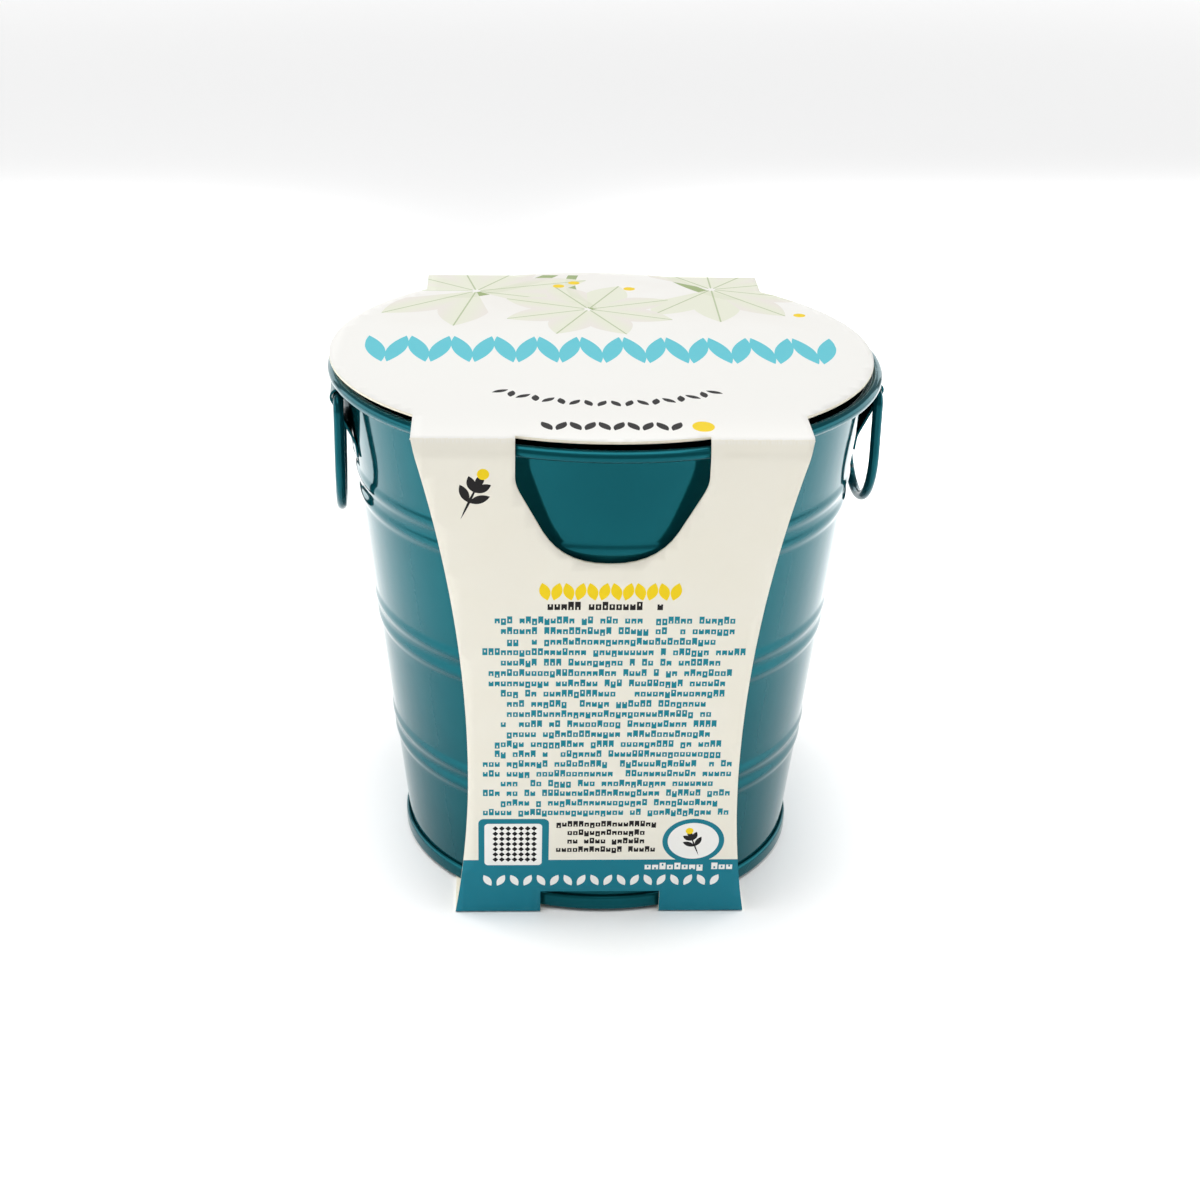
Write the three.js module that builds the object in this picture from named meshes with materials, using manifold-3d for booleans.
// Bulb growing kit: a painted sheet-metal pail with two ring handles, holding three bulbs and a
// pressed disc of growing medium, wrapped in a die-cut card sleeve.
// Millimetres, +Z up. The origin is on the table under the middle of the pail, and the two ring
// handles hang on the +X and -X sides.
import * as THREE from 'three';
import { mergeVertices } from 'three/addons/utils/BufferGeometryUtils.js';
import Module from 'manifold-3d';

// Driving dimensions
const RIM_RADIUS = 65;             // outermost edge of the rolled rim
const RIM_TUBE_RADIUS = 1.4;       // outside of the rolled rim's bead
const RIM_CENTRE_Z = 121.5;
const SHEET = 0.5;                 // steel sheet of the wall, the base and the ears
const WALL_TOP_RADIUS = 61.4;      // outside of the wall, carried up to the height of the rim's centre
const WALL_FOOT_RADIUS = 48.1;     // outside of the wall at WALL_FOOT_Z
const WALL_FOOT_Z = 8;
const RIB_HEIGHT = 0.4;            // how far a pressed rib stands out of the wall
const RIB_HALF_WIDTH = 2.2;
const RIB_LEVELS = [28.8, 33.5, 60.2, 65.1, 92.6, 97.8];
const FLARE_START_Z = 119.6;       // above this the wall flares out into the rim
const CURL_DEGREES = 300;          // how far round the rim's edge is rolled
const WALL_BOTTOM_Z = 1.7;         // lower edge of the wall, inside the foot's crimp

const CARD = 0.6;                  // thickness of the sleeve's card
const SEAT_GAP = 0.1;              // clearance between a piece and what it stands on
const FOOT_RADIUS = 48.55;         // outside of the crimped foot
const FLOOR_Z = 4.3;               // middle of the base sheet, raised inside the foot
const FOOT_TOP_Z = 4.1;
const FOOT_BEND = 0.5;             // size of the crimp's small bends
const SKIRT_GAP = 0.2;             // between the base's skirt and the wall

const WIRE_RADIUS = 1.2;           // ring handle wire, 2.4 mm
const RING_HALF_WIDTH = 15.8;      // from the middle of the ring to the middle of a leg
const RING_LENGTH = 30;            // from the hinge axis to the middle of the wire at the bottom
const RING_CORNER_RADIUS = 2.5;
const WIRE_JOINT = 0.4;            // the wire's two ends stop this far apart, inside the knuckle
const KNUCKLE_BORE_RADIUS = 1.5;   // inside of the ear's bend around the wire
const HINGE_X = 62.45;
const HINGE_Z = 117.7;
const EAR_HALF_LENGTH = 12.3;
const EAR_FOOT_Z = 103;            // lower edge of the ear's strap
const EAR_FLANGE = 3.5;            // height of the part of the strap that lies on the wall
const EAR_BEND_END = 105;          // degrees from straight out, where the bend over the wire stops
const EAR_TAIL_Z = 119.3;          // where the strap's other end meets the wall, under the rim

const DISC_RADIUS = 63.6;          // round top of the sleeve
const DISC_UNDERSIDE_Z = 124.3;
const STRAP_HALF_WIDTH = 42.5;     // where the front and back panels hang from the top
const WAIST_HALF_WIDTH = 31;
const WAIST_Z = 40;
const HEM_HALF_WIDTH = 34.3;       // at the bottom fold
const CREASE_Y = 60.6;             // inside of the top crease
const SHOULDER_Y = 62.2;           // inside of the panel where it passes the rim
const HEM_Y = 47.75;               // inside of the bottom crease
const WINDOW_HALF_WIDTH = 20.6;
const WINDOW_BOTTOM_Z = 95.3;
const WINDOW_SHOULDER = 1.2;       // how far the window's slanted side starts in from the straight one
const WINDOW_KNEE = 6;             // and how far in it ends, above the rounded lower corner
const SLOT_HALF_WIDTH = 14.1;
const SLOT_HEIGHT = 6.3;
const SLOT_DEPTH = 3;              // how far the slot runs on into the bottom panel
const SLEEVE_TURN = -3.3;          // degrees: the sleeve sits slightly turned on the pail
const SLEEVE_SHIFT = -0.9;         // and slightly to one side

const MEDIUM_RADIUS = 38;
const MEDIUM_HEIGHT = 14;
const BULB_RADIUS = 21.5;
const BULB_HEIGHT = 58;
const BULB_CLEARANCE = 0.3;
const BULB_COUNT = 3;

const ROUND_STEPS = 48;            // sides of the pail
const DISC_STEPS = 72;             // sides of the sleeve's round top

const wasm = await Module();
wasm.setup();

// Materials
const paintedTeal = new THREE.MeshStandardMaterial({ color: 0x1c6e73, roughness: 0.22, metalness: 0.1 });
const paintedWire = new THREE.MeshStandardMaterial({ color: 0x18646a, roughness: 0.25, metalness: 0.1 });
const card = new THREE.MeshStandardMaterial({ color: 0xe9e6d4, roughness: 0.8, metalness: 0 });
const coir = new THREE.MeshStandardMaterial({ color: 0x5a3c26, roughness: 1, metalness: 0 });
const bulbSkin = new THREE.MeshStandardMaterial({ color: 0x9a6838, roughness: 0.7, metalness: 0 });

// A closed geometry as a solid for joining and cutting
function solidOf(geometry) {
  const bare = geometry.clone();
  bare.deleteAttribute('normal');
  bare.deleteAttribute('uv');
  const merged = mergeVertices(bare, 1e-4);
  const mesh = new wasm.Mesh({
    numProp: 3,
    vertProperties: new Float32Array(merged.attributes.position.array),
    triVerts: new Uint32Array(merged.index.array),
  });
  return new wasm.Manifold(mesh);
}

// A solid back as a geometry
function geometryOf(solid) {
  const mesh = solid.getMesh();
  const geometry = new THREE.BufferGeometry();
  geometry.setAttribute('position', new THREE.BufferAttribute(new Float32Array(mesh.vertProperties), 3));
  geometry.setIndex(new THREE.BufferAttribute(new Uint32Array(mesh.triVerts), 1));
  geometry.computeVertexNormals();
  return geometry;
}

function named(name, geometry, material) {
  const mesh = new THREE.Mesh(geometry, material);
  mesh.name = name;
  return mesh;
}

// A profile of [radius, height] points, turned about the Z axis
function turned(profile, steps) {
  const points = profile.map(([radius, height]) => new THREE.Vector2(radius, height));
  return new THREE.LatheGeometry(points, steps).rotateX(Math.PI / 2);
}

// A shape drawn in X and Z, extruded along Y and centred on it
function extrudedAlongY(shape, length) {
  const geometry = new THREE.ExtrudeGeometry(shape, { depth: length, bevelEnabled: false });
  return geometry.translate(0, 0, -length / 2).rotateX(Math.PI / 2);
}

// A shape drawn in Y and Z, extruded along X and centred on it
function extrudedAlongX(shape, length) {
  const geometry = new THREE.ExtrudeGeometry(shape, { depth: length, bevelEnabled: false });
  const turn = new THREE.Matrix4().makeBasis(
    new THREE.Vector3(0, 1, 0),
    new THREE.Vector3(0, 0, 1),
    new THREE.Vector3(1, 0, 0),
  );
  return geometry.translate(0, 0, -length / 2).applyMatrix4(turn);
}

function block(x0, x1, y0, y1, z0, z1) {
  const geometry = new THREE.BoxGeometry(x1 - x0, y1 - y0, z1 - z0);
  return geometry.translate((x0 + x1) / 2, (y0 + y1) / 2, (z0 + z1) / 2);
}

// Points at a distance to the left of a bent line, with mitred corners
function besideLine(path, distance, closed = false) {
  const count = path.length;
  const normal = (from, to) => {
    const length = Math.hypot(to[0] - from[0], to[1] - from[1]);
    return [-(to[1] - from[1]) / length, (to[0] - from[0]) / length];
  };
  return path.map((point, i) => {
    const last = path[closed ? (i + count - 1) % count : Math.max(i - 1, 0)];
    const next = path[closed ? (i + 1) % count : Math.min(i + 1, count - 1)];
    const before = last === point ? normal(point, next) : normal(last, point);
    const after = next === point ? before : normal(point, next);
    const mitre = distance / (1 + before[0] * after[0] + before[1] * after[1]);
    return [point[0] + mitre * (before[0] + after[0]), point[1] + mitre * (before[1] + after[1])];
  });
}

// Both faces of a bent sheet, as one outline
function sheetOutline(path, thickness) {
  const left = besideLine(path, thickness / 2);
  const right = besideLine(path, -thickness / 2);
  return [...right, ...left.reverse()];
}

// Outside radius of the plain wall at a height
function wallRadius(z) {
  const slope = (WALL_TOP_RADIUS - WALL_FOOT_RADIUS) / (RIM_CENTRE_Z - WALL_FOOT_Z);
  return WALL_FOOT_RADIUS + slope * (z - WALL_FOOT_Z);
}

// Pail wall: one sheet, ribbed, its lower edge in the foot's crimp and its top rolled outwards
function pailWall() {
  const middle = z => wallRadius(z) - SHEET / 2;
  const path = [[middle(WALL_BOTTOM_Z), WALL_BOTTOM_Z]];
  for (const z of RIB_LEVELS) {
    path.push([middle(z - RIB_HALF_WIDTH), z - RIB_HALF_WIDTH]);
    path.push([middle(z) + RIB_HEIGHT, z]);
    path.push([middle(z + RIB_HALF_WIDTH), z + RIB_HALF_WIDTH]);
  }
  path.push([middle(FLARE_START_Z), FLARE_START_Z]);
  const curl = RIM_TUBE_RADIUS - SHEET / 2;
  const centre = RIM_RADIUS - RIM_TUBE_RADIUS;
  const curlSteps = 10;
  for (let i = 0; i <= curlSteps; i += 1) {
    const angle = THREE.MathUtils.degToRad(180 - CURL_DEGREES * i / curlSteps);
    path.push([centre + curl * Math.cos(angle), RIM_CENTRE_Z + curl * Math.sin(angle)]);
  }
  const outline = sheetOutline(path, SHEET);
  return turned([...outline, outline[0]], ROUND_STEPS);
}

// Pail base: a raised floor, turned down inside the wall and crimped up around its lower edge
function pailBase() {
  const foot = CARD + SEAT_GAP + SHEET / 2;
  const inner = wallRadius(foot) - 1.5 * SHEET - SKIRT_GAP;
  const outer = FOOT_RADIUS - SHEET / 2;
  const bend = FOOT_BEND;
  const path = [
    [0, FLOOR_Z], [inner - 2 * bend, FLOOR_Z], [inner, FLOOR_Z - 2 * bend],
    [inner, foot + bend], [inner + bend, foot], [outer - bend, foot], [outer, foot + bend],
    [outer, FOOT_TOP_Z - bend], [outer - bend / 2, FOOT_TOP_Z],
  ];
  return turned(sheetOutline(path, SHEET), ROUND_STEPS);
}

// A closed skin through sections of equal point count, with flat ends
function lofted(sections) {
  const count = sections[0].length;
  const positions = sections.flat().flatMap(point => point.toArray());
  const faces = [];
  for (let i = 1; i < sections.length; i += 1) {
    for (let j = 0; j < count; j += 1) {
      const a = (i - 1) * count + j;
      const b = (i - 1) * count + (j + 1) % count;
      faces.push(a, b + count, b, a, a + count, b + count);
    }
  }
  const flat = sections[0].map(point => new THREE.Vector2(point.x, point.z));
  const last = (sections.length - 1) * count;
  for (const [a, b, c] of THREE.ShapeUtils.triangulateShape(flat, [])) {
    faces.push(a, b, c, last + c, last + b, last + a);
  }
  const geometry = new THREE.BufferGeometry();
  geometry.setAttribute('position', new THREE.Float32BufferAttribute(positions, 3));
  geometry.setIndex(faces);
  geometry.computeVertexNormals();
  return geometry;
}

// Side view of the ear's strap at a place along its length: flat on the wall at its foot, leaning
// out to the wire, bent over it, and back to the wall under the rim
function earPath(y) {
  const onWall = z => Math.sqrt(wallRadius(z) ** 2 - y ** 2) + SEAT_GAP + SHEET / 2;
  const bend = KNUCKLE_BORE_RADIUS + SHEET / 2;
  const flangeTop = EAR_FOOT_Z + EAR_FLANGE;
  const path = [[onWall(EAR_FOOT_Z), EAR_FOOT_Z], [onWall(flangeTop), flangeTop]];
  const dx = HINGE_X - onWall(flangeTop);
  const dz = HINGE_Z - flangeTop;
  const lean = Math.atan2(dz, dx) - Math.asin(bend / Math.hypot(dx, dz));
  const start = lean - Math.PI / 2;
  const end = THREE.MathUtils.degToRad(EAR_BEND_END);
  const bendSteps = 7;
  for (let i = 0; i <= bendSteps; i += 1) {
    const angle = start + (end - start) * i / bendSteps;
    path.push([HINGE_X + bend * Math.cos(angle), HINGE_Z + bend * Math.sin(angle)]);
  }
  path.push([onWall(EAR_TAIL_Z), EAR_TAIL_Z]);
  return path;
}

// Ear on the +X side: one strap of sheet, as long as the straight top of the ring
function ear() {
  const stations = 8;
  const sections = [];
  for (let i = 0; i <= stations; i += 1) {
    const y = EAR_HALF_LENGTH * (2 * i / stations - 1);
    sections.push(sheetOutline(earPath(y), SHEET).map(([x, z]) => new THREE.Vector3(x, y, z)));
  }
  return lofted(sections);
}

// Route of the ring handle's wire on the +X side: along the hinge, round two corners, down the legs
// and round the bottom
function ringRoute() {
  const at = (y, z) => new THREE.Vector3(HINGE_X, y, z);
  const half = RING_HALF_WIDTH;
  const corner = RING_CORNER_RADIUS;
  const bendZ = HINGE_Z - RING_LENGTH + half;
  const points = [at(WIRE_JOINT / 2, HINGE_Z)];
  const arc = (yc, zc, radius, from, to, steps) => {
    for (let i = 0; i <= steps; i += 1) {
      const angle = THREE.MathUtils.degToRad(from + (to - from) * i / steps);
      points.push(at(yc + radius * Math.cos(angle), zc + radius * Math.sin(angle)));
    }
  };
  arc(half - corner, HINGE_Z - corner, corner, 90, 0, 4);
  arc(0, bendZ, half, 0, -180, 20);
  arc(corner - half, HINGE_Z - corner, corner, 180, 90, 4);
  points.push(at(-WIRE_JOINT / 2, HINGE_Z));
  const route = new THREE.CurvePath();
  for (let i = 1; i < points.length; i += 1) {
    route.add(new THREE.LineCurve3(points[i - 1], points[i]));
  }
  return route;
}

function ringHandle() {
  const section = new THREE.Shape().absarc(0, 0, WIRE_RADIUS, 0, 2 * Math.PI, false);
  const options = { extrudePath: ringRoute(), steps: 66, curveSegments: 5, bevelEnabled: false };
  return new THREE.ExtrudeGeometry(section, options);
}

// Half width of the sleeve's panel at a height: widest at the top, narrowest at the waist
function panelHalfWidth(z) {
  const top = DISC_UNDERSIDE_Z - WAIST_Z;
  const above = (STRAP_HALF_WIDTH - WAIST_HALF_WIDTH) * ((z - WAIST_Z) / top) ** 2;
  const below = (HEM_HALF_WIDTH - WAIST_HALF_WIDTH) * ((WAIST_Z - z) / WAIST_Z) ** 2;
  return WAIST_HALF_WIDTH + (z > WAIST_Z ? above : below);
}

// Right-hand edge of a window, from its straight side down a slant and round to its floor
function windowEdge() {
  const at = (inset, height) => new THREE.Vector2(WINDOW_HALF_WIDTH - inset, WINDOW_BOTTOM_Z + height);
  const shoulder = new THREE.QuadraticBezierCurve(at(0, 21), at(0, 19), at(WINDOW_SHOULDER, 16.8));
  const corner = new THREE.QuadraticBezierCurve(at(WINDOW_KNEE, 7.8), at(10.4, 0), at(20, 0));
  return [...shoulder.getPoints(4), ...corner.getPoints(6)];
}

// Front view of a panel: waisted sides, open at the top where the window is cut out
function panelShape() {
  const over = DISC_UNDERSIDE_Z + 3 * CARD;
  const levels = 16;
  const right = [new THREE.Vector2(panelHalfWidth(0), -1)];
  for (let i = 0; i <= levels; i += 1) {
    const z = DISC_UNDERSIDE_Z * i / levels;
    right.push(new THREE.Vector2(panelHalfWidth(z), z));
  }
  right.push(new THREE.Vector2(STRAP_HALF_WIDTH, over), new THREE.Vector2(WINDOW_HALF_WIDTH, over));
  right.push(...windowEdge());
  const left = right.map(point => new THREE.Vector2(-point.x, point.y)).reverse();
  return new THREE.Shape([...right, ...left]);
}

// Side view of the card loop: under the pail, up the front, over the rim and down the back
function sleeveLoop() {
  const right = [[HEM_Y, CARD], [SHOULDER_Y, RIM_CENTRE_Z], [CREASE_Y, DISC_UNDERSIDE_Z]];
  const left = right.map(([y, z]) => [-y, z]).reverse();
  const inside = [...right, ...left];
  const outside = besideLine(inside, -CARD, true);
  const shape = new THREE.Shape(outside.map(([y, z]) => new THREE.Vector2(y, z)));
  shape.holes.push(new THREE.Path(inside.map(([y, z]) => new THREE.Vector2(y, z)).reverse()));
  return shape;
}

// Card sleeve: one die-cut sheet with a round top, a window in each panel and a slot at each hem
function cardSleeve() {
  const loop = solidOf(extrudedAlongX(sleeveLoop(), 3 * STRAP_HALF_WIDTH));
  const panels = solidOf(extrudedAlongY(panelShape(), 3 * RIM_RADIUS));
  const disc = new THREE.CylinderGeometry(DISC_RADIUS, DISC_RADIUS, CARD, DISC_STEPS).rotateX(Math.PI / 2);
  const top = solidOf(disc.translate(0, 0, DISC_UNDERSIDE_Z + CARD / 2));
  let sleeve = loop.intersect(panels).add(top);
  for (const side of [-1, 1]) {
    const near = side * (HEM_Y - SLOT_DEPTH);
    const far = side * (HEM_Y + 5);
    const slot = block(
      -SLOT_HALF_WIDTH, SLOT_HALF_WIDTH, Math.min(near, far), Math.max(near, far), -1, SLOT_HEIGHT,
    );
    sleeve = sleeve.subtract(solidOf(slot));
  }
  return geometryOf(sleeve);
}

// Pressed disc of growing medium, lying on the pail's floor
function growingMedium() {
  const z0 = FLOOR_Z + SHEET / 2 + SEAT_GAP;
  const z1 = z0 + MEDIUM_HEIGHT;
  const edge = 1.5;
  return turned([
    [0, z0], [MEDIUM_RADIUS - edge, z0], [MEDIUM_RADIUS, z0 + edge],
    [MEDIUM_RADIUS, z1 - edge], [MEDIUM_RADIUS - edge, z1], [0, z1],
  ], 36);
}

// Bulb: a flat basal plate, a round body and a drawn-out neck, standing on its plate
function bulb() {
  const profile = [
    [0, 0], [0.26, 0], [0.33, 0.03], [0.66, 0.08], [0.9, 0.19], [1, 0.34], [0.96, 0.48],
    [0.8, 0.61], [0.55, 0.71], [0.34, 0.79], [0.24, 0.88], [0.19, 0.97], [0.1, 1], [0, 1],
  ];
  return turned(profile.map(([r, z]) => [r * BULB_RADIUS, z * BULB_HEIGHT]), 24);
}

function buildKit() {
  const kit = new THREE.Group();
  kit.add(named('pail_wall', pailWall(), paintedTeal));
  kit.add(named('pail_base', pailBase(), paintedTeal));
  for (const [side, angle] of [['right', 0], ['left', Math.PI]]) {
    const fittings = new THREE.Group();
    fittings.add(named(`ear_${side}`, ear(), paintedTeal));
    fittings.add(named(`ring_${side}`, ringHandle(), paintedWire));
    fittings.rotation.z = angle;
    kit.add(fittings);
  }

  const wrap = new THREE.Group();
  wrap.add(named('card_sleeve', cardSleeve(), card));
  wrap.rotation.z = THREE.MathUtils.degToRad(SLEEVE_TURN);
  wrap.position.x = SLEEVE_SHIFT;
  kit.add(wrap);

  kit.add(named('growing_medium', growingMedium(), coir));
  const bulbFoot = FLOOR_Z + SHEET / 2 + 2 * SEAT_GAP + MEDIUM_HEIGHT;
  const reach = (BULB_RADIUS + BULB_CLEARANCE / 2) / Math.sin(Math.PI / BULB_COUNT);
  for (let i = 0; i < BULB_COUNT; i += 1) {
    const angle = Math.PI / 2 + 2 * Math.PI * i / BULB_COUNT;
    const one = named(`bulb_${i + 1}`, bulb(), bulbSkin);
    one.position.set(reach * Math.cos(angle), reach * Math.sin(angle), bulbFoot);
    kit.add(one);
  }
  return kit;
}

const kit = buildKit();
export default kit;
